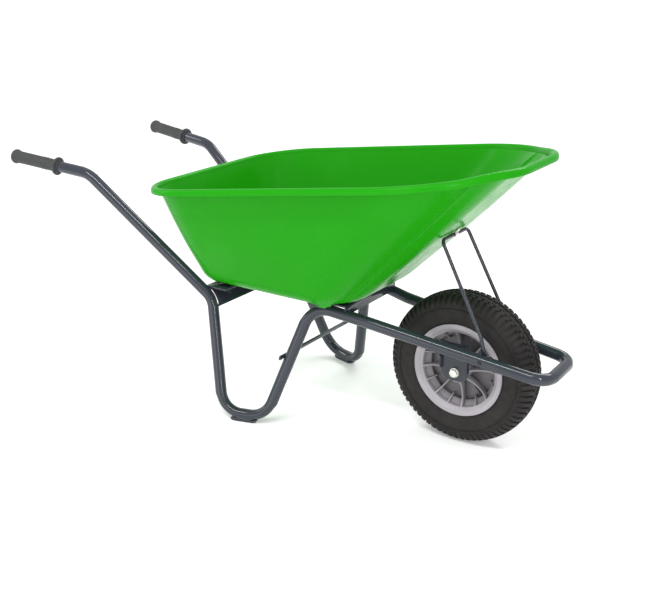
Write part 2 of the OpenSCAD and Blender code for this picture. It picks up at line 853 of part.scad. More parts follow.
// Half section of the barrel, as [radius, distance from the centre plane]
function barrel_section() = let (h = rim_w / 2, w = well_w / 2, s = w + 6, f = rim_d / 2) [
    [f - 2, h], [f, h - 2], [f, h - flange_t + 0.5], [f - 1, h - flange_t], [seat_r + 3, h - flange_t],
    [seat_r, h - flange_t - 3], [seat_r, s], [well_r, w], [well_r, -w], [seat_r, -s],
    [seat_r, -h + flange_t + 3], [seat_r + 3, -h + flange_t], [f - 1, -h + flange_t],
    [f, -h + flange_t - 0.5], [f, -h + 2], [f - 2, -h], [seat_r - 1, -h], [seat_r - seat_t, -h + 3],
    [seat_r - seat_t, -s - 2], [well_r - seat_t, -w - 1], [well_r - seat_t, w + 1],
    [seat_r - seat_t, s + 2], [seat_r - seat_t, h - 3], [seat_r - 1, h]
];

valve_turn = -49.5;
valve_off = -8;
valve_d = 8.5;

// Puts children at the valve's hole, with +Z towards the tyre
module at_valve()
    on_axle()
        rotate([0, 0, -valve_turn])
            translate([0, 0, valve_off])
                rotate([0, 90, 0])
                    children();

module rim() {
    color(rim_grey)
        placed()
            difference() {
                on_axle()
                    difference() {
                        union() {
                            rotate_extrude($fn = 96)
                                polygon(barrel_section());
                            translate([0, 0, -hub_l / 2])
                                cylinder(d = hub_d, h = hub_l, $fn = 72);
                            translate([0, 0, -web_t / 2])
                                cylinder(r = well_r - seat_t / 2, h = web_t, $fn = 96);
                            for (k = [0 : rib_count - 1])
                                rotate([0, 0, -first_rib - k * 360 / rib_count]) {
                                    translate([hub_d / 2 - 3, -rib_t / 2, -well_w / 2 - 1])
                                        cube([well_r - hub_d / 2, rib_t, well_w + 2]);
                                    rotate([0, 0, 180 / rib_count])
                                        translate([short_rib_r, -rib_t / 2, -well_w / 2])
                                            cube([short_rib_l, rib_t, well_w]);
                                }
                            for (k = [0 : rib_count - 1])
                                rotate([0, 0, -first_rib - k * 360 / rib_count])
                                    rib_wings();
                        }
                        translate([0, 0, -hub_l])
                            cylinder(d = sleeve_d + 6, h = 2 * hub_l, $fn = 64);
                        for (s = [-1, 1])
                            translate([0, 0, s * (hub_l / 2 - bush_l / 2 + 5)])
                                cylinder(d = bush_d + 0.1, h = bush_room_l, center = true, $fn = 64);
                    }
                at_valve()
                    cylinder(d = valve_d + bolt_gap, h = rim_d, $fn = 32);
            }
}

// The part of a long rib that stands out on both sides of the well
module rib_wings()
    translate([0, rib_t / 2, 0])
        rotate([90, 0, 0])
            linear_extrude(rib_t)
                for (s = [-1, 1])
                    polygon([[hub_d / 2 - 3, 0], [well_r - seat_t / 2, 0],
                        [seat_r - seat_t / 2, s * (well_w / 2 + 6)],
                        [seat_r - seat_t / 2, s * (rim_w / 2 - rib_inset)],
                        [hub_d / 2 - 3, s * (hub_l / 2 - 14)]]);

// ---------- Tyre, inner tube and valve ----------

tyre_r = tyre_d / 2;
side_w = tyre_w / 2;
bead_gap = 0.3;
tread_t = 11;
side_t = 6;

// Half of the tyre's outer skin from the bead to the crown, as [radius, distance from the centre plane]
function tyre_half() = let (f = rim_d / 2, b = rim_w / 2 - flange_t - bead_gap, h = tyre_r - f) [
    [seat_r + bead_gap, b - 3], [seat_r + 3 + bead_gap, b], [f + 0.5, b], [f + 0.12 * h, side_w - 4.5],
    [f + 0.28 * h, side_w - 1], [f + 0.46 * h, side_w], [f + 0.64 * h, side_w - 2],
    [f + 0.79 * h, side_w - 6], [f + 0.90 * h, side_w - 13], [f + 0.96 * h, side_w - 24],
    [f + 0.99 * h, side_w - 36], [tyre_r, 0]
];

// Half of the cavity inside the tyre, moved in by g
function cavity_half(g) = let (f = rim_d / 2, h = tyre_r - f, b = rim_w / 2 - flange_t - 8) [
    [seat_r + bead_gap + g, b - g], [f, b - g], [f + 0.14 * h, side_w - side_t - 5 - g],
    [f + 0.30 * h, side_w - side_t - 1 - g], [f + 0.48 * h, side_w - side_t - g],
    [f + 0.66 * h, side_w - side_t - 4 - g], [f + 0.80 * h - g, side_w - side_t - 14 - g],
    [tyre_r - tread_t - g, 14], [tyre_r - tread_t - g, 0]
];

function both_halves(half) = concat(half, [for (i = [len(half) - 2 : -1 : 0]) [half[i][0], -half[i][1]]]);
function backwards(v) = [for (i = [len(v) - 1 : -1 : 0]) v[i]];

module tyre() {
    color(rubber_black)
        placed()
            on_axle()
                rotate_extrude($fn = 120)
                    polygon(concat(both_halves(tyre_half()), backwards(both_halves(cavity_half(0)))));
}

tube_skin = 2;
tube_clear = 0.4;

// The tube fills the cavity and rests on the rim's seats
function tube_outline(g) = both_halves(cavity_half(tube_clear + g));

module inner_tube() {
    color(rubber_black)
        placed()
            on_axle()
                rotate_extrude($fn = 96)
                    difference() {
                        polygon(tube_outline(0));
                        polygon(tube_outline(tube_skin));
                    }
}

stem_l = 46;
stem_d = valve_d;
cap_d = 7.5;
cap_l = 12;
stem_root_r = seat_r + bead_gap + 0.2;

module valve_stem() {
    color(rubber_black)
        placed()
            at_valve()
                translate([0, 0, stem_root_r - stem_l])
                    union() {
                        cylinder(d = 5, h = 14, $fn = 32);
                        translate([0, 0, 12])
                            cylinder(d1 = 6.5, d2 = stem_d - 0.2, h = 10, $fn = 48);
                        translate([0, 0, 22])
                            cylinder(d = stem_d - 0.2, h = stem_l - 22, $fn = 48);
                    }
}

module valve_cap() {
    color(rubber_black)
        placed()
            at_valve()
                translate([0, 0, stem_root_r - stem_l - 2])
                    difference() {
                        cylinder(d = cap_d, h = cap_l, $fn = 48);
                        translate([0, 0, 2 - seat_gap])
                            cylinder(d = 5.2, h = cap_l, $fn = 32);
                    }
}

// ---------- Tray bolts ----------

washer_od = 24;
head_seat = tray_z + tray_wall;
tray_washer_t = 1.6;
tray_nut_h = 7;
tray_nut_af = 13;
shank_l = tray_wall + sheet_t + 2 * tray_washer_t + tray_nut_h + 4;

module at_bolts(x, y)
    both_sides()
        translate([x, y, 0])
            children();

module tray_bolts(x, y)
    placed()
        at_bolts(x, y)
            translate([0, 0, head_seat + tray_washer_t])
                pan_bolt(bolt_d, shank_l);

module tray_nuts(x, y)
    placed()
        at_bolts(x, y)
            translate([0, 0, tray_z - sheet_t - tray_nut_h])
                hex_nut(bolt_d, tray_nut_af, tray_nut_h);

module rear_tray_bolts()
    color(zinc)
        tray_bolts(rear_bolt_x, rear_bolt_y);

module rear_tray_nuts()
    color(zinc)
        tray_nuts(rear_bolt_x, rear_bolt_y);

module front_tray_bolts()
    color(zinc)
        tray_bolts(front_bolt_x, front_bolt_y);

module front_tray_nuts()
    color(zinc)
        tray_nuts(front_bolt_x, front_bolt_y);

// One large washer under each bolt's head, inside the tray
module tray_washers()
    color(zinc)
        placed()
            for (p = [[rear_bolt_x, rear_bolt_y], [front_bolt_x, front_bolt_y]])
                at_bolts(p[0], p[1])
                    translate([0, 0, head_seat])
                        ring_of(washer_od, bolt_d + bolt_gap, tray_washer_t);

tray();
frame_tube();
grip_left();
grip_right();
foot_pad_left();
foot_pad_right();
rear_cross_member();
front_cross_member();
leg_brace();
front_stay();
stay_clip();
stay_clip_bolts();
stay_clip_nuts();
stay_foot_bolts();
stay_foot_nuts();
axle_bracket_left();
axle_bracket_right();
axle_bolt();
axle_nut();
axle_washers();
axle_sleeve();
thrust_washers();
hub_bush_left();
hub_bush_right();
rim();
tyre();
inner_tube();
valve_stem();
valve_cap();
rear_tray_bolts();
rear_tray_nuts();
front_tray_bolts();
front_tray_nuts();
tray_washers();
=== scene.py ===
# %% [markdown]
# # A garden wheelbarrow
# A one-wheeled barrow: a moulded green plastic tray, bolted to one long steel tube that is bent
# into handles, legs and a loop round the wheel. The CAD model gives every place and size. This
# lesson builds the surfaces that are seen over it, piece by piece, in metres.

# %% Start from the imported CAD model
import math

import bmesh
import bpy
from mathutils import Matrix, Vector


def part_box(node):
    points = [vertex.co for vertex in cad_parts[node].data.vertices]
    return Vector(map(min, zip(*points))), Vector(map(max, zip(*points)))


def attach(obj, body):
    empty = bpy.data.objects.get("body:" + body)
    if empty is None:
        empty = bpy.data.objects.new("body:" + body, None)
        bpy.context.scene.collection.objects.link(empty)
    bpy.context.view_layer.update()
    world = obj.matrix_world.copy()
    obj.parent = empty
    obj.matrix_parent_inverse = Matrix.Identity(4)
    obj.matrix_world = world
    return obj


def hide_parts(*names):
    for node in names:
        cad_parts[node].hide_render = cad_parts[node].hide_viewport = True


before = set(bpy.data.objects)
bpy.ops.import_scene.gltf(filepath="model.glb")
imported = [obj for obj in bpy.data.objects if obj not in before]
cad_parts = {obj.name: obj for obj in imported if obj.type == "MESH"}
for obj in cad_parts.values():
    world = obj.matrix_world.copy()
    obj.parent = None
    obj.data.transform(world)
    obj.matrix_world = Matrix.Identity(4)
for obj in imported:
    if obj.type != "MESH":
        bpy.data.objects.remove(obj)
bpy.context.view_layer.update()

MM = 0.001
AXLE_X = sum(p.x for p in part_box("rim")) / 2
AXLE_Z = sum(p.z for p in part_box("rim")) / 2

# %% [markdown]
# ## Tools for the whole lesson
# Corner points are given in millimetres, with x measured forwards from the axle, as a maker's
# drawing would. Every piece is made in a bmesh, its doubles are merged, its normals recalculated,
# and edges sharper than a chosen angle stay crisp while the rest is shaded smooth.

# %% Placing, finishing and adding a piece
def at(x, y, z):
    """A point given in millimetres from the axle's line and the ground"""
    return Vector((AXLE_X + x * MM, y * MM, z * MM))


ON_AXLE = Matrix.Translation((AXLE_X, 0, AXLE_Z)) @ Matrix.Rotation(math.radians(-90), 4, "X")


def crisp(bm, angle):
    """Shades smooth, but keeps the edges that turn by more than the angle"""
    for face in bm.faces:
        face.smooth = True
    for edge in bm.edges:
        edge.smooth = len(edge.link_faces) != 2 or edge.calc_face_angle(0) < math.radians(angle)


def add_piece(bm, name, material, body, stands_for=(), angle=32):
    """Makes the object, which rides on a CAD body and may stand for some CAD nodes"""
    bmesh.ops.remove_doubles(bm, verts=bm.verts, dist=0.000005)
    bmesh.ops.recalc_face_normals(bm, faces=bm.faces)
    crisp(bm, angle)
    mesh = bpy.data.meshes.new(name)
    bm.to_mesh(mesh)
    bm.free()
    mesh.materials.append(material)
    piece = bpy.data.objects.new(name, mesh)
    bpy.context.scene.collection.objects.link(piece)
    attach(piece, body)
    if stands_for:
        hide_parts(*stands_for)
    print(name, len(mesh.polygons), "faces")
    return piece


# %% [markdown]
# A round part is an outline spun about an axis, and a flat part is an outline given a thickness.
# Both are made round the local Z axis first and then put in place by one matrix.

# %% Spun and flat parts
def put(bm, before, place):
    """Moves all that was made after the count before to its place"""
    bm.verts.ensure_lookup_table()
    bmesh.ops.transform(bm, matrix=place, verts=bm.verts[before:])


def lathe(bm, outline, steps, place, closed=True):
    """Spins an outline of [radius, height] in millimetres"""
    before = len(bm.verts)
    verts = [bm.verts.new((r * MM, 0, z * MM)) for r, z in outline]
    ends = verts[1:] + verts[:1] if closed else verts[1:]
    edges = [bm.edges.new(pair) for pair in zip(verts, ends)]
    bmesh.ops.spin(bm, geom=verts + edges, cent=(0, 0, 0), axis=(0, 0, 1), dvec=(0, 0, 0),
                   angle=math.tau, steps=steps, use_merge=True)
    put(bm, before, place)


def plate(bm, outline, thickness, place, edge=0.0):
    """Gives an outline of [x, y] in millimetres a thickness, and rounds its edges"""
    before = len(bm.verts)
    face = bm.faces.new([bm.verts.new((x * MM, y * MM, -thickness / 2 * MM)) for x, y in outline])
    made = bmesh.ops.extrude_face_region(bm, geom=[face])["geom"]
    top = [g for g in made if isinstance(g, bmesh.types.BMVert)]
    bmesh.ops.translate(bm, vec=(0, 0, thickness * MM), verts=top)
    if edge:
        bm.verts.ensure_lookup_table()
        rims = {e for v in bm.verts[before:] for e in v.link_edges if e.calc_face_angle(0) > 0.5}
        bmesh.ops.bevel(bm, geom=list(rims), offset=edge * MM, segments=2, profile=0.5,
                        affect="EDGES", material=-1, clamp_overlap=True)
    put(bm, before, place)


def repeat(bm, before, count, place):
    """Copies all that was made after the count before round a place's Z axis"""
    bm.verts.ensure_lookup_table()
    verts = bm.verts[before:]
    edges = list({e for v in verts for e in v.link_edges})
    faces = list({f for v in verts for f in v.link_faces})
    bmesh.ops.spin(bm, geom=verts + edges + faces, cent=place.translation,
                   axis=place.to_3x3() @ Vector((0, 0, 1)), dvec=(0, 0, 0),
                   angle=math.tau * (count - 1) / count, steps=count - 1, use_duplicate=True)


# %% [markdown]
# A bent bar is a ring carried along a path. The path is straight between the corners and runs on
# an arc round each of them. A thin tube gives way on the outer side when it is bent in a press, so
# the ring is squeezed a little towards the centre of the bend.

# %% Bent bars
def bar_path(corners, radii, squeeze, side, arc_steps=14, run_steps=2):
    """Places along a bar in millimetres: each a centre, a turning matrix and two widths"""
    tangent = (corners[1] - corners[0]).normalized()
    side = (side - tangent * side.dot(tangent)).normalized()
    turn = Matrix((side, tangent.cross(side), tangent)).transposed()
    path = [(corners[0].copy(), turn.copy(), None, 0)]
    here = corners[0]
    for i in range(1, len(corners)):
        nxt = corners[i]
        if i < len(corners) - 1:
            after = (corners[i + 1] - nxt).normalized()
            angle = tangent.angle(after)
            length = radii[i] * math.tan(angle / 2)
        else:
            length = 0
        end = nxt - tangent * length
        for k in range(1, run_steps + 1):
            path.append((here.lerp(end, k / run_steps), turn.copy(), None, 0))
        if not length:
            break
        inward = (after - tangent * after.dot(tangent)).normalized()
        centre = end + inward * radii[i]
        axis = tangent.cross(inward)
        for k in range(1, arc_steps + 1):
            rot = Matrix.Rotation(angle * k / arc_steps, 3, axis)
            deep = min(1, 2.2 * math.sin(math.pi * k / arc_steps)) * squeeze[i]
            path.append((centre + rot @ (end - centre), rot @ turn, rot @ inward, deep))
        turn = Matrix.Rotation(angle, 3, axis) @ turn
        tangent = after
        here = centre + Matrix.Rotation(angle, 3, axis) @ (end - centre)
    return path


def ring_place(centre, turn, width, depth=None, inward=None, deep=0):
    """The matrix that puts a unit ring at a place on the path, squeezed towards the bend's centre"""
    depth = width if depth is None else depth
    move = centre + (inward * width * deep if inward else Vector((0, 0, 0)))
    shape = Matrix.Diagonal((width * MM, depth * MM, MM, 1))
    place = Matrix.Translation(at(*move)) @ turn.to_4x4()
    if inward and deep:
        flat = turn.transposed() @ inward
        across = flat.cross(Vector((0, 0, 1)))
        place = place @ Matrix.Scale(1 - deep, 4, flat) @ Matrix.Scale(1 + deep / 3, 4, across)
    return place @ shape


def sweep(bm, places, sides, caps=True):
    """Carries a ring through the places"""
    made = bmesh.ops.create_circle(bm, cap_ends=False, radius=1, segments=sides, matrix=places[0])["verts"]
    edges = list({e for v in made for e in v.link_edges})
    first = edges
    for a, b in zip(places, places[1:]):
        geom = bmesh.ops.extrude_edge_only(bm, edges=edges)["geom"]
        verts = [g for g in geom if isinstance(g, bmesh.types.BMVert)]
        edges = [g for g in geom if isinstance(g, bmesh.types.BMEdge) and g.is_boundary]
        bmesh.ops.transform(bm, matrix=b @ a.inverted(), verts=verts)
    if caps:
        bmesh.ops.holes_fill(bm, edges=first + edges, sides=0)


def soft_copy(node, material, body, edge=0.5, angle=32):
    """A copy of a CAD node that stands for it, with its sharp edges rounded"""
    bm = bmesh.new()
    bm.from_mesh(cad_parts[node].data)
    bmesh.ops.remove_doubles(bm, verts=bm.verts, dist=0.00001)
    bmesh.ops.dissolve_limit(bm, angle_limit=0.01, verts=bm.verts, edges=bm.edges)
    rims = [e for e in bm.edges if len(e.link_faces) == 2 and e.calc_face_angle(0) > math.radians(angle)]
    bmesh.ops.bevel(bm, geom=rims, offset=edge * MM, segments=2, profile=0.5, affect="EDGES",
                    material=-1, clamp_overlap=True)
    return add_piece(bm, node + "_seen", material, body, [node], angle)


# %% [markdown]
# ## Materials
# Each material is a Principled shader with noise on the object's own coordinates: fine bump,
# changes in roughness, and a little dirt or wear in the colour. The fixed values stay on the
# shader's own sockets.

# %% A material with bump, uneven gloss and wear
def make_material(name, colour, worn, rough, metallic=0.0, grain=900.0, grain_depth=0.00004,
                  cloud=9.0, wear=(0.56, 0.78), specular=0.5):
    material = bpy.data.materials.new(name)
    material.use_nodes = True
    nodes = material.node_tree.nodes
    links = material.node_tree.links
    shader = nodes["Principled BSDF"]
    shader.inputs["Metallic"].default_value = metallic
    shader.inputs["Specular IOR Level"].default_value = specular
    where = nodes.new("ShaderNodeTexCoord")

    def noise(scale, detail, distort=0.0):
        node = nodes.new("ShaderNodeTexNoise")
        node.inputs["Scale"].default_value = scale
        node.inputs["Detail"].default_value = detail
        node.inputs["Distortion"].default_value = distort
        links.new(where.outputs["Object"], node.inputs["Vector"])
        return node.outputs["Fac"]

    patches = nodes.new("ShaderNodeMapRange")
    patches.inputs["From Min"].default_value = wear[0]
    patches.inputs["From Max"].default_value = wear[1]
    links.new(noise(cloud, 6.0, 0.4), patches.inputs["Value"])
    mix = nodes.new("ShaderNodeMix")
    mix.data_type = "RGBA"
    mix.inputs["A"].default_value = (*colour, 1)
    mix.inputs["B"].default_value = (*worn, 1)
    links.new(patches.outputs["Result"], mix.inputs["Factor"])
    links.new(mix.outputs["Result"], shader.inputs["Base Color"])

    gloss = nodes.new("ShaderNodeMapRange")
    gloss.inputs["To Min"].default_value = rough[0]
    gloss.inputs["To Max"].default_value = rough[1]
    gloss.inputs["From Min"].default_value = 0.3
    gloss.inputs["From Max"].default_value = 0.7
    links.new(noise(cloud * 4, 8.0), gloss.inputs["Value"])
    links.new(gloss.outputs["Result"], shader.inputs["Roughness"])

    bump = nodes.new("ShaderNodeBump")
    bump.inputs["Strength"].default_value = 0.5
    bump.inputs["Distance"].default_value = grain_depth
    links.new(noise(grain, 3.0), bump.inputs["Height"])
    links.new(bump.outputs["Normal"], shader.inputs["Normal"])
    return material


tray_plastic = make_material("tray_plastic", (0.013, 0.285, 0.004), (0.020, 0.310, 0.009), (0.20, 0.30),
                             grain=900, grain_depth=0.000008, cloud=5, specular=0.07)
frame_paint = make_material("frame_paint", (0.026, 0.031, 0.043), (0.034, 0.040, 0.053), (0.10, 0.16),
                            grain=700, grain_depth=0.000006, cloud=6)
grip_rubber = make_material("grip_rubber", (0.034, 0.037, 0.037), (0.056, 0.059, 0.058), (0.55, 0.72),
                            grain=1500, grain_depth=0.00012, cloud=30)
rim_plastic = make_material("rim_plastic", (0.36, 0.335, 0.365), (0.29, 0.27, 0.30), (0.30, 0.46),
                            grain=1100, grain_depth=0.00004, cloud=12)
tyre_rubber = make_material("tyre_rubber", (0.0130, 0.0112, 0.0108), (0.024, 0.0195, 0.0175), (0.60, 0.80),
                            grain=1400, grain_depth=0.00010, cloud=16, wear=(0.5, 0.75), specular=0.35)
tube_rubber = make_material("tube_rubber", (0.012, 0.012, 0.012), (0.022, 0.021, 0.020), (0.45, 0.60),
                            grain=1600, grain_depth=0.00006, cloud=25)
bush_nylon = make_material("bush_nylon", (0.72, 0.70, 0.62), (0.60, 0.57, 0.48), (0.38, 0.52),
                           grain=1500, grain_depth=0.00003, cloud=30)


def paint_deep_shade(material, deep, open_air, factor):
    """Paints shade into a wheel's colour, darker towards the middle plane, where the recess lies in shadow"""
    nodes = material.node_tree.nodes
    links = material.node_tree.links
    where = nodes.new("ShaderNodeTexCoord")
    parts = nodes.new("ShaderNodeSeparateXYZ")
    links.new(where.outputs["Object"], parts.inputs["Vector"])
    distance = nodes.new("ShaderNodeMath")
    distance.operation = "ABSOLUTE"
    links.new(parts.outputs["Y"], distance.inputs[0])
    shade = nodes.new("ShaderNodeMapRange")
    shade.inputs["From Min"].default_value = deep
    shade.inputs["From Max"].default_value = open_air
    shade.inputs["To Min"].default_value = factor
    links.new(distance.outputs["Value"], shade.inputs["Value"])
    scaled = nodes.new("ShaderNodeVectorMath")
    scaled.operation = "SCALE"
    shader = nodes["Principled BSDF"]
    links.new(shader.inputs["Base Color"].links[0].from_socket, scaled.inputs["Vector"])
    links.new(shade.outputs["Result"], scaled.inputs["Scale"])
    links.new(scaled.outputs["Vector"], shader.inputs["Base Color"])


# Painted shade: the rim's colour is darkened towards its middle plane, deep inside the barrel
paint_deep_shade(rim_plastic, 0.006, 0.036, 0.42)
zinc = make_material("zinc", (0.76, 0.76, 0.72), (0.62, 0.56, 0.38), (0.24, 0.44), metallic=1.0,
                     grain=1800, grain_depth=0.00003, cloud=60, wear=(0.48, 0.70))

# %% [markdown]
# ## The tray
# The tray is injection moulded in one piece, so it has draft all round, wide corner radii and a lip
# that rolls over for strength. Its outline at each level is the edge round six circles whose
# centres and radii change evenly from the floor to the lip.

# %% Outline of the tray
TRAY_Z = 332.96
FLOOR_CIRCLES = [(-646, 122, 60), (-352, 102, 80), (-302, 92, 50)]
TOP_CIRCLES = [(-659, 165, 142), (-132, 16, 276), (27, 64.9, 124)]
ARC, RUN = 14, 26
LIP_REAR_X, LIP_REAR_Z, LIP_SLOPE = -817, 594, 0.138
NOSE_CROWN_X, NOSE_CROWN_L, NOSE_CROWN_H = 130, 80, 5


def lerp(a, b, t):
    return a + (b - a) * t


def smooth(x, a, b):
    t = min(1, max(0, (x - a) / (b - a)))
    return t * t * (3 - 2 * t)


def rim_top(x):
    crown = max(0, 1 - ((x - NOSE_CROWN_X) / NOSE_CROWN_L) ** 2) ** 2
    return LIP_REAR_Z + (x - LIP_REAR_X) * LIP_SLOPE + NOSE_CROWN_H * crown


def circles_at(t):
    pairs = zip(FLOOR_CIRCLES, TOP_CIRCLES)
    left = [tuple(lerp(a, b, t) for a, b in zip(floor, top)) for floor, top in pairs]
    return left + [(x, -y, r) for x, y, r in reversed(left)]


def leave_angle(a, b):
    dx, dy = b[0] - a[0], b[1] - a[1]
    return math.atan2(dy, dx) + math.acos((a[2] - b[2]) / math.hypot(dx, dy))


def outline(t, w):
    """Points round the tray at a level, each with its place along the run of walls: [x, y, place]"""
    c = circles_at(t)
    n = len(c)
    arcs = []
    for i in range(n):
        a1 = leave_angle(c[i], c[(i + 1) % n])
        a0 = leave_angle(c[i - 1], c[i])
        span = (a0 - a1 + 2 * math.tau) % math.tau
        arcs.append([(c[i][0] + (c[i][2] + w) * math.cos(a0 - span * k / ARC),
                      c[i][1] + (c[i][2] + w) * math.sin(a0 - span * k / ARC), i + 0.5 * k / ARC)
                     for k in range(ARC + 1)])
    points = []
    for i in range(n):
        a, b = arcs[i][-1], arcs[(i + 1) % n][0]
        points += arcs[i]
        points += [(lerp(a[0], b[0], k / RUN), lerp(a[1], b[1], k / RUN), i + 0.5 + 0.5 * k / RUN)
                   for k in range(1, RUN)]
    return points


# %% [markdown]
# The front end of the tray stands a little proud of the side walls, with a step and two ribs
# running down the diagonal walls, and a short skirt hangs under the floor at the front corners.
# These are small moves of the same skin, so they are added to the outline as an offset.

# %% Moulded details of the wall
STEP_AT, STEP_W, STEP_D = 1.735, 0.012, 4.2


def wall_detail(place, t):
    """How far the wall moves out, in millimetres"""
    p = place if place <= 3 else 6 - place - 0.5
    fade = smooth(t, 0.02, 0.10) * (1 - smooth(t, 0.93, 0.985))
    back = smooth(p, 0.9, STEP_AT - STEP_W) * (1 - smooth(p, STEP_AT - STEP_W, STEP_AT + STEP_W))
    ribs = sum(math.exp(-((p - STEP_AT - d) / 0.0085) ** 2) for d in (0.075, 0.14))
    return fade * (1.5 * ribs - STEP_D * back)


def skirt(x, y, t):
    """How far the outer skin hangs below the floor at the front corners"""
    return 10.5 * smooth(abs(y), 143, 150) * smooth(x, -352, -322) * (1 - smooth(t, 0.004, 0.03))


def tray_levels():
    """The skin from the middle of the floor outside, over the lip, to the floor inside"""
    outer = [((k / 9) ** 2 * 0.13, -38 * (1 - k / 9) ** 2, 0) for k in range(10)]
    walls = [0.17, 0.22, 0.28, 0.34, 0.40, 0.46, 0.52, 0.58,
             0.64, 0.70, 0.76, 0.82, 0.87, 0.91, 0.94, 0.965]
    swell = [(t, 4 * smooth(t, 0.13, 0.42) * (1 - smooth(t, 0.58, 0.97))) for t in walls]
    lip = [(0, -19), (0.4, -13), (2.5, -9.5), (7, -7), (10.5, -7.5), (12.5, -10), (13.2, -14),
           (13.8, -16.6), (14.8, -17), (15.6, -16.4), (16, -14), (15.9, -9.6), (15.1, -6.4),
           (13.6, -3.8), (11.4, -1.8), (8.6, -0.5), (5.6, 0), (3.0, -0.5), (0.6, -2.2), (-1.4, -5.0),
           (-2.8, -9), (-3.7, -15), (-4, -22)]
    skin = [(t, w, dz) for t, w, dz in outer] + [(t, w, 0) for t, w in swell]
    skin += [(1, w, dz) for w, dz in lip]
    skin += [(t, w - 4, 0) for t, w in reversed(swell)]
    inner = [(t, -4 + (w + 38) * 34 / 38 - 34, 4 * (1 - k / 9)) for k, (t, w, dz) in enumerate(outer)]
    skin += inner[::-1]
    return skin


# %% [markdown]
# A flat grid is wrapped round: one way goes round the walls, the other way up the outside, over
# the lip and down the inside. The seam's doubles are merged and the floor is filled in.

# %% Wrap a grid into the tray
levels = tray_levels()
top = outline(1, 0)
around = len(top)
outer_count = 10 + 16
bm = bmesh.new()
grid = bmesh.ops.create_grid(bm, x_segments=around, y_segments=len(levels) - 1, size=1)["verts"]
rings = []
for j, (t, w, dz) in enumerate(levels):
    ring = []
    base = outline(t, w)
    for i in range(around):
        x, y, place = base[i]
        ring.append((x, y, lerp(TRAY_Z, rim_top(top[i][0]), t) + dz, wall_detail(place, t)))
    rings.append(ring)
for vert in grid:
    i = round((vert.co.x + 1) / 2 * around) % around
    j = round((vert.co.y + 1) / 2 * (len(levels) - 1))
    x, y, z, move = rings[j][i]
    before, after = rings[j][i - 1], rings[j][(i + 1) % around]
    run = Vector((after[0] - before[0], after[1] - before[1], 0)).normalized()
    out = Vector((-run.y, run.x, 0)) * move
    drop = skirt(x, y, levels[j][0]) if j < outer_count else 0
    vert.co = at(x + out.x, y + out.y, z - drop)
bmesh.ops.remove_doubles(bm, verts=bm.verts, dist=0.00001)
bmesh.ops.holes_fill(bm, edges=[e for e in bm.edges if e.is_boundary], sides=0)
tray = add_piece(bm, "tray_moulding", tray_plastic, "frame", ["tray"], angle=50)
print("tray corners", [tuple(round(v, 3) for v in c) for c in (tray.bound_box[0], tray.bound_box[6])])

# %% [markdown]
# ## The frame tube
# One steel tube is bent on a press from the left handle to the right one: down behind the tray,
# round the left foot, up to the rail, forwards to the loop in front of the wheel and back again.
# The tight bends at the feet are squeezed the most.

# %% Sweep the tube
TUBE_R = 14.99


def mirrored(points):
    return points + [Vector((p.x, -p.y, p.z)) for p in reversed(points)]


grip_p = Vector((-1267, 283, 622))
shoulder_p = Vector((-1021, 250, 598))
hip_p = Vector((-651.5, 190, 297))
heel_p = Vector((-569, 261, 18))
toe_p = Vector((-452, 228, 18))
knee_p = Vector((-371, 131, 318))
waist_p = Vector((-229, 108, 296))
nose_p = Vector((245, 82, 238))
grip_u = (shoulder_p - grip_p).normalized()
tube_corners = mirrored([grip_p + grip_u * 6, shoulder_p, hip_p, heel_p, toe_p, knee_p, waist_p, nose_p])
tube_radii = [0, 62, 62, 62, 62, 62, 155, 42]
tube_squeeze = [0, 0.04, 0.06, 0.10, 0.10, 0.06, 0.0, 0.06]
path = bar_path(tube_corners, tube_radii + tube_radii[::-1], tube_squeeze + tube_squeeze[::-1],
                Vector((0, 0, 1)), arc_steps=18)
bm = bmesh.new()
sweep(bm, [ring_place(c, turn, TUBE_R, inward=n, deep=d) for c, turn, n, d in path], 48)
add_piece(bm, "frame_tube_bent", frame_paint, "frame", ["frame_tube"], angle=60)

# %% [markdown]
# ## The grips
# Each grip is a soft sleeve with a rounded end, a hand guard and two fine rings. It is a turned
# shape, so an outline is spun round the handle's own line.

# %% Spin the grips
GRIP_OUTLINE = [(0, -12.6), (7, -11.8), (13, -9.6), (17, -6.4), (19.3, -2.8), (20, 0.6), (19.8, 4),
                (18.6, 7), (17.2, 9.4), (16.8, 12), (16.7, 40), (16.6, 90), (16.6, 96), (17.3, 97),
                (17.3, 99), (16.6, 100), (16.6, 106), (17.3, 107), (17.3, 109), (16.6, 110),
                (16.8, 132), (17.8, 138), (20.5, 141), (23.2, 142), (24.7, 143.4), (25, 145.2),
                (24.7, 147), (23.4, 148.6), (20, 149.2), (17.6, 149.4), (17.5, 153.4), (16.9, 154),
                (15.1, 154), (15.1, 6), (0, 6)]
for side, node in ((1, "grip_left"), (-1, "grip_right")):
    line = Vector((grip_u.x, side * grip_u.y, grip_u.z))
    start = at(grip_p.x, side * grip_p.y, grip_p.z)
    bm = bmesh.new()
    place = Matrix.Translation(start) @ line.to_track_quat("Z", "Y").to_matrix().to_4x4()
    lathe(bm, GRIP_OUTLINE, 64, place, closed=False)
    add_piece(bm, node + "_sleeve", grip_rubber, "frame", [node], angle=40)

# %% [markdown]
# ## The front stay
# A thin rod is bent into a U that holds the front of the tray up from the rails. Its two ends are
# pressed flat, so the ring changes from round to a thin ellipse at the feet.

# %% Sweep the stay
def rail_at(x):
    return waist_p.lerp(nose_p, (x - waist_p.x) / (nose_p.x - waist_p.x))


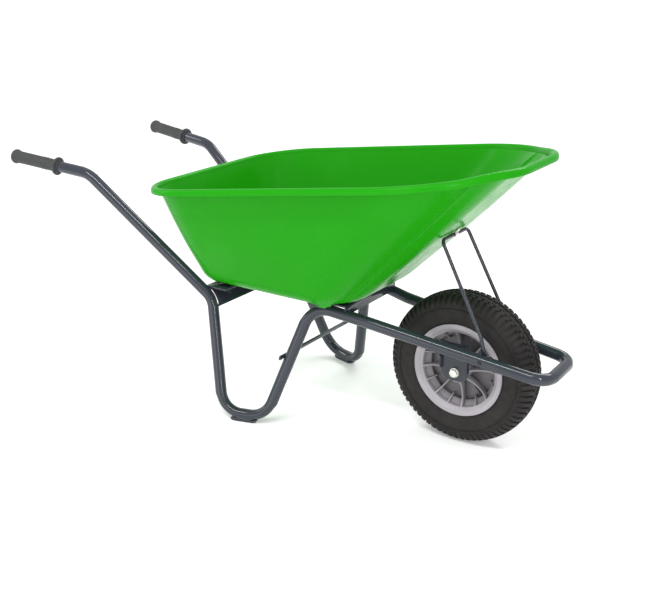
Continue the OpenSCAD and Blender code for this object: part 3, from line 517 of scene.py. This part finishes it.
STAY_LEAN = math.radians(14)
STAY_THIN = 1.75
stay_foot = Vector((86, rail_at(86).y - 15 - 0.6 - 1.75, rail_at(86).z))
stay_u = Vector((-math.sin(STAY_LEAN), 0, math.cos(STAY_LEAN)))
stay_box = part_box("front_stay")
stay_top = Vector(((stay_box[0].x - AXLE_X) / MM + 4.5, 66.5, 527))
stay_corners = mirrored([stay_foot + stay_u * 26, stay_foot + stay_u * 52, stay_top])
path = bar_path(stay_corners, [0, 36, 12, 12, 36, 0], [0, 0, 0.05, 0.05, 0, 0],
                Vector((math.cos(STAY_LEAN), 0, math.sin(STAY_LEAN))), arc_steps=10)
places = [ring_place(c, turn, 4.45, inward=n, deep=d) for c, turn, n, d in path]
STAY_FLAT = [(-14, 1.6), (-13.4, 4.4), (-11, 6.6), (-7, 7.8), (0, 8), (8, 7.6), (16, 6.4), (22, 5.2)]


def pressed_end(foot, turn):
    """Rings up one foot of the stay: thin where it is pressed flat, then swelling to the rod"""
    return [ring_place(foot + stay_u * h, turn, w, STAY_THIN if h < 10 else STAY_THIN + 0.17 * (h - 8))
            for h, w in STAY_FLAT]


start = pressed_end(stay_foot, path[0][1])
far_foot = Vector((stay_foot.x, -stay_foot.y, stay_foot.z))
finish = pressed_end(far_foot, path[-1][1])
bm = bmesh.new()
sweep(bm, start + places + finish[::-1], 24)
add_piece(bm, "front_stay_rod", frame_paint, "frame", ["front_stay"], angle=60)

# %% [markdown]
# ## The tyre
# The carcass is a turned shape: bead, sidewall with a raised line, shoulder and a shallow crown.
# The tread is a pattern of rubber blocks. One block of each row is made and repeated 72 times
# round the wheel, the rows staggered by half a step.

# %% Spin the carcass
TYRE_SIDE = [(102.8, 35.7), (105.8, 38.7), (119.8, 38.7), (120.6, 40.4), (123.4, 41.6), (124.6, 43.4),
             (129, 44.4), (140.6, 47.6), (150, 48.3), (157, 46.6), (158.2, 46.5), (159, 48.7),
             (160.4, 48.7), (161.2, 45.9), (168, 44.8), (174, 42.6), (180.5, 37.4), (186.2, 28.6),
             (189.6, 19), (191.2, 9)]
CAVITY = [(183, 0), (183, 14), (179, 28), (169, 38), (155, 43), (142, 42), (130, 38), (119.5, 31),
          (102.8, 31)]
half = TYRE_SIDE + [(191.6, 0)]
tyre_outline = half + [(r, -y) for r, y in reversed(TYRE_SIDE)]
tyre_outline += [(r, -y) for r, y in reversed(CAVITY)] + CAVITY[1:]
bm = bmesh.new()
lathe(bm, tyre_outline, 144, ON_AXLE)


# %% [markdown]
# The shoulder blocks are thin plates standing across the edge of the tread, which makes the row of
# teeth seen from the side. The blocks on the crown are small bevelled cubes.

# %% Tread blocks
PITCHES = 72


def turned(angle, side=1):
    """On the axle, turned about it, with X outwards and Y along the axle"""
    out = Matrix.Rotation(math.radians(angle), 4, "Z")
    return ON_AXLE @ out @ Matrix.Rotation(math.radians(90 * side), 4, "X")


SHOULDER = [(168.5, 44.6), (170.0, 45.8), (174, 44.9), (180.4, 41.2), (186.6, 35.2), (190.6, 28.6),
            (192, 24), (188, 23), (184, 30.5), (178, 38), (172, 42.4)]
for side in (1, -1):
    before = len(bm.verts)
    outline_mm = SHOULDER if side == 1 else [(r, -y) for r, y in reversed(SHOULDER)]
    plate(bm, [(r, -y) for r, y in outline_mm], 10.4, turned(90 / PITCHES * (1 - side)), edge=1.5)
    repeat(bm, before, PITCHES, ON_AXLE)

CROWN_ROWS = [(18.4, 9.6, 12.4, 193.2, 2.5), (8.6, 8.8, 13.2, 194.5, 0)]
for y, wide, along, top_r, shift in CROWN_ROWS:
    for side in (1, -1):
        before = len(bm.verts)
        tilt = Matrix.Rotation(math.atan2(y, 95) * side, 4, "Y")
        body = Matrix.Diagonal((9 * MM, along * MM, wide * MM, 1))
        middle = Matrix.Translation(((top_r - 4.5) * MM, 0, y * side * MM))
        turn = Matrix.Rotation(math.radians(shift + 1.25 * side), 4, "Z")
        block = ON_AXLE @ turn @ middle @ tilt.inverted() @ body
        made = bmesh.ops.create_cube(bm, size=1, matrix=block)["verts"]
        rims = list({e for v in made for e in v.link_edges})
        bmesh.ops.bevel(bm, geom=rims, offset=1.2 * MM, segments=2, profile=0.5, affect="EDGES",
                        material=-1, clamp_overlap=True)
        repeat(bm, before, PITCHES, ON_AXLE)
add_piece(bm, "tyre_treaded", tyre_rubber, "wheel", ["tyre"], angle=40)

# %% [markdown]
# ## The rim
# The rim is moulded plastic: a barrel that the tyre sits on, a thin web in the middle, a hub, and
# ribs on both sides of the web that carry the load. The long ribs dip between the hub and the
# barrel, so their top edge is a hollow curve.

# %% Barrel, web and hub
BARREL = [(117.5, 43), (118.9, 42.6), (119.5, 41.2), (119.4, 40), (118.5, 39), (105.5, 39), (102.5, 36),
          (102.5, 19), (90.5, 13), (90.5, -13), (102.5, -19), (102.5, -36), (105.5, -39), (118.5, -39),
          (119.4, -40), (119.5, -41.2), (118.9, -42.6), (117.5, -43), (107, -43), (105.2, -41.4),
          (103.4, -39.6), (100.6, -38.6), (98.5, -36.4), (98.5, -21), (86.5, -14), (86.5, 14),
          (98.5, 21), (98.5, 36.4), (100.6, 38.6), (103.4, 39.6), (105.2, 41.4), (107, 43)]
HUB = [(13.6, 49), (26.5, 49), (27.6, 48.4), (28, 47.2), (29, 6), (32, 2.9), (88, 2.4), (88, -2.4),
       (32, -2.9), (29, -6), (28, -47.2), (27.6, -48.4), (26.5, -49), (13.6, -49)]
bm = bmesh.new()
lathe(bm, BARREL, 144, ON_AXLE)
lathe(bm, HUB, 96, ON_AXLE)

# %% Ribs
LONG_RIB = [(26.5, 0), (26.5, 37), (30, 36.5), (36, 32.5), (44, 28), (54, 25), (66, 23.6), (78, 24.6),
            (88, 28.6), (95, 34), (99.5, 38.2), (99.5, 20), (87.5, 13.5), (87.5, 0)]
RIB_T = 3.6
SHORT_RIB = [(78, 14), (84, 18), (92, 27), (99.5, 36.5), (99.5, 20), (87.5, 13.5), (87.5, 0), (78, 0)]
for outline_mm, first in ((LONG_RIB, -7), (SHORT_RIB, -29.5)):
    for side in (1, -1):
        before = len(bm.verts)
        shape = outline_mm if side == 1 else [(r, -y) for r, y in reversed(outline_mm)]
        plate(bm, shape, RIB_T, turned(first), edge=0.7)
        repeat(bm, before, 8, ON_AXLE)
add_piece(bm, "rim_moulding", rim_plastic, "wheel", ["rim"], angle=38)

# %% [markdown]
# ## Pressed steel, bolts and the small parts
# The brackets, cross members, brace and pads are cut and folded from sheet, and the fixings are
# standard zinc plated bolts. Their CAD shapes are right already, so each is copied with its sharp
# edges rounded as a press or a die leaves them.

# %% Copies with rounded edges
for node in ("rear_cross_member", "front_cross_member", "leg_brace", "axle_bracket_left",
             "axle_bracket_right"):
    soft_copy(node, frame_paint, "frame", edge=0.7)
for node in ("foot_pad_left", "foot_pad_right"):
    soft_copy(node, frame_paint, "frame", edge=1.0)
for node in ("stay_foot_bolts", "stay_foot_nuts"):
    soft_copy(node, frame_paint, "frame", edge=0.3)
for node in ("stay_clip", "stay_clip_bolts", "stay_clip_nuts", "rear_tray_bolts", "rear_tray_nuts",
             "front_tray_bolts", "front_tray_nuts", "tray_washers", "axle_bolt", "axle_nut",
             "axle_washers"):
    soft_copy(node, zinc, "frame", edge=0.3)
for node in ("hub_bush_left", "hub_bush_right"):
    soft_copy(node, bush_nylon, "wheel", edge=0.3)
for node in ("valve_stem", "valve_cap"):
    soft_copy(node, tube_rubber, "wheel", edge=0.3)

# %% [markdown]
# A black plastic plug closes a hole on top of each rail, just in front of the stay's foot.

# %% Rail plugs
bm = bmesh.new()
for side in (1, -1):
    middle = rail_at(106)
    line = (nose_p - waist_p).normalized()
    up = Vector((0, 0, 1)) - line * line.z
    stand = up.to_track_quat("Z", "Y").to_matrix().to_4x4()
    place = Matrix.Translation(at(middle.x, side * middle.y, middle.z)) @ stand
    lathe(bm, [(0, 13), (5.2, 13), (5.4, 15.2), (5.0, 16.6), (3.4, 17.7), (0, 18.1)], 32, place, closed=False)
add_piece(bm, "rail_plugs", tube_rubber, "frame", angle=50)

# %% [markdown]
# The sleeve, the thrust washers and the inner tube are hidden inside the wheel. They keep their
# CAD shapes and only take the better materials.

# %% Materials on the inner parts
for node, material in (("axle_sleeve", zinc), ("thrust_washers", zinc), ("inner_tube", tube_rubber)):
    for material_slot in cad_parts[node].material_slots:
        material_slot.material = material

# %% [markdown]
# ## Weld beads
# The brackets, the brace and the foot pads are welded to the tube. A bead is a thin bar whose
# width ripples as the pool of metal cooled, painted over with the frame.

# %% Lay the beads
def bead(bm, points, radius=1.7):
    """A rippled bead along points in millimetres"""
    places = []
    for i, point in enumerate(points):
        ahead = points[min(i + 1, len(points) - 1)] - points[max(i - 1, 0)]
        turn = ahead.to_track_quat("Z", "Y").to_matrix()
        ends = min(1, 0.35 + 0.4 * min(i, len(points) - 1 - i))
        places.append(ring_place(point, turn, radius * ends * (1 + 0.13 * math.sin(i * 2.1))))
    sweep(bm, places, 10)


BEAD_R = 15.2
BRACE_Z = 177
bm = bmesh.new()
for side in (1, -1):
    for x in (-37, 37):
        middle = rail_at(x)
        for face in (-3.4, 0.6) if x > 0 else (-0.6, 3.4):
            arc = [math.radians(160 + k * 3) for k in range(24)]
            bead(bm, [Vector((x + face, side * (middle.y + BEAD_R * math.cos(a)),
                              middle.z + BEAD_R * math.sin(a))) for a in arc], 1.5)
strand = (knee_p - toe_p).normalized()
brace_at = toe_p.lerp(knee_p, (BRACE_Z - toe_p.z) / (knee_p.z - toe_p.z))
for side in (1, -1):
    for level in (-6.3, 6.3):
        x = brace_at.x - 15.4 + strand.x / strand.z * level
        bead(bm, [Vector((x, side * (brace_at.y + y), BRACE_Z + level)) for y in range(-8, 9)], 1.6)
foot_u = (toe_p - heel_p).normalized()
foot_mid = (heel_p + toe_p) / 2
for side in (1, -1):
    for edge in (-10.4, 10.4):
        across = Vector((-foot_u.y, foot_u.x, 0)) * edge
        row = [foot_mid + foot_u * d + across for d in range(-20, 21)]
        bead(bm, [Vector((p.x, side * p.y, 8.0)) for p in row], 1.6)
add_piece(bm, "weld_beads", frame_paint, "frame", angle=60)

# %% [markdown]
# ## Floor, light and camera
# A large pale floor, which glows a little, and a pale sky give soft light from all sides. Five lamps
# add shape: one above, one behind, one on the left, a narrow one on the right and a low, wide one
# that lights the outside of the tray more than its inside. The camera stands in front of the right
# side of the barrow, a little above the tray.

# %% Stage
bm = bmesh.new()
bmesh.ops.create_grid(bm, x_segments=1, y_segments=1, size=40)
mesh = bpy.data.meshes.new("floor")
bm.to_mesh(mesh)
bm.free()
floor = bpy.data.objects.new("floor", mesh)
bpy.context.scene.collection.objects.link(floor)
floor_paint = bpy.data.materials.new("floor_paint")
floor_paint.use_nodes = True
floor_shader = floor_paint.node_tree.nodes["Principled BSDF"]
floor_shader.inputs["Base Color"].default_value = (0.97, 0.97, 0.97, 1)
floor_shader.inputs["Roughness"].default_value = 0.9
floor_shader.inputs["Emission Color"].default_value = (1, 1, 1, 1)
floor_shader.inputs["Emission Strength"].default_value = 0.17
mesh.materials.append(floor_paint)

world = bpy.data.worlds.new("pale_sky")
world.use_nodes = True
world.node_tree.nodes["Background"].inputs["Color"].default_value = (1, 1, 1, 1)
world.node_tree.nodes["Background"].inputs["Strength"].default_value = 0.86
bpy.context.scene.world = world
bpy.context.scene.view_settings.view_transform = "Standard"


def lamp(name, place, target, size, power):
    light = bpy.data.lights.new(name, "AREA")
    light.shape = "RECTANGLE"
    light.size, light.size_y = size
    light.energy = power
    obj = bpy.data.objects.new(name, light)
    bpy.context.scene.collection.objects.link(obj)
    obj.location = place
    obj.rotation_euler = (Vector(place) - Vector(target)).to_track_quat("Z", "Y").to_euler()


lamp("key", (0.3, -2.0, 3.4), (0, 0, 0.3), (2.6, 0.35), 60)
lamp("left", (-3.2, -1.2, 1.9), (0, 0, 0.4), (0.5, 2.0), 18)
lamp("low", (-0.7, -3.2, 0.6), (0, 0, 0.45), (2.0, 0.8), 8)
lamp("right", (2.6, -1.7, 1.5), (-0.5, 0.1, 0.5), (0.12, 1.5), 17)
lamp("back", (0.4, 2.4, 2.8), (0, 0, 0.4), (2.4, 0.5), 40)

# %% Camera
camera_data = bpy.data.cameras.new("camera")
camera_data.lens = 56.24
camera_data.sensor_width = 36
camera_data.shift_x = 0.01673
camera_data.shift_y = 0.00464
camera = bpy.data.objects.new("camera", camera_data)
bpy.context.scene.collection.objects.link(camera)
camera.location = (1.52462, -2.1476, 1.2091)
camera.rotation_euler = Vector((0.5297, -0.7783, 0.3373)).to_track_quat("Z", "Y").to_euler()
bpy.context.scene.camera = camera
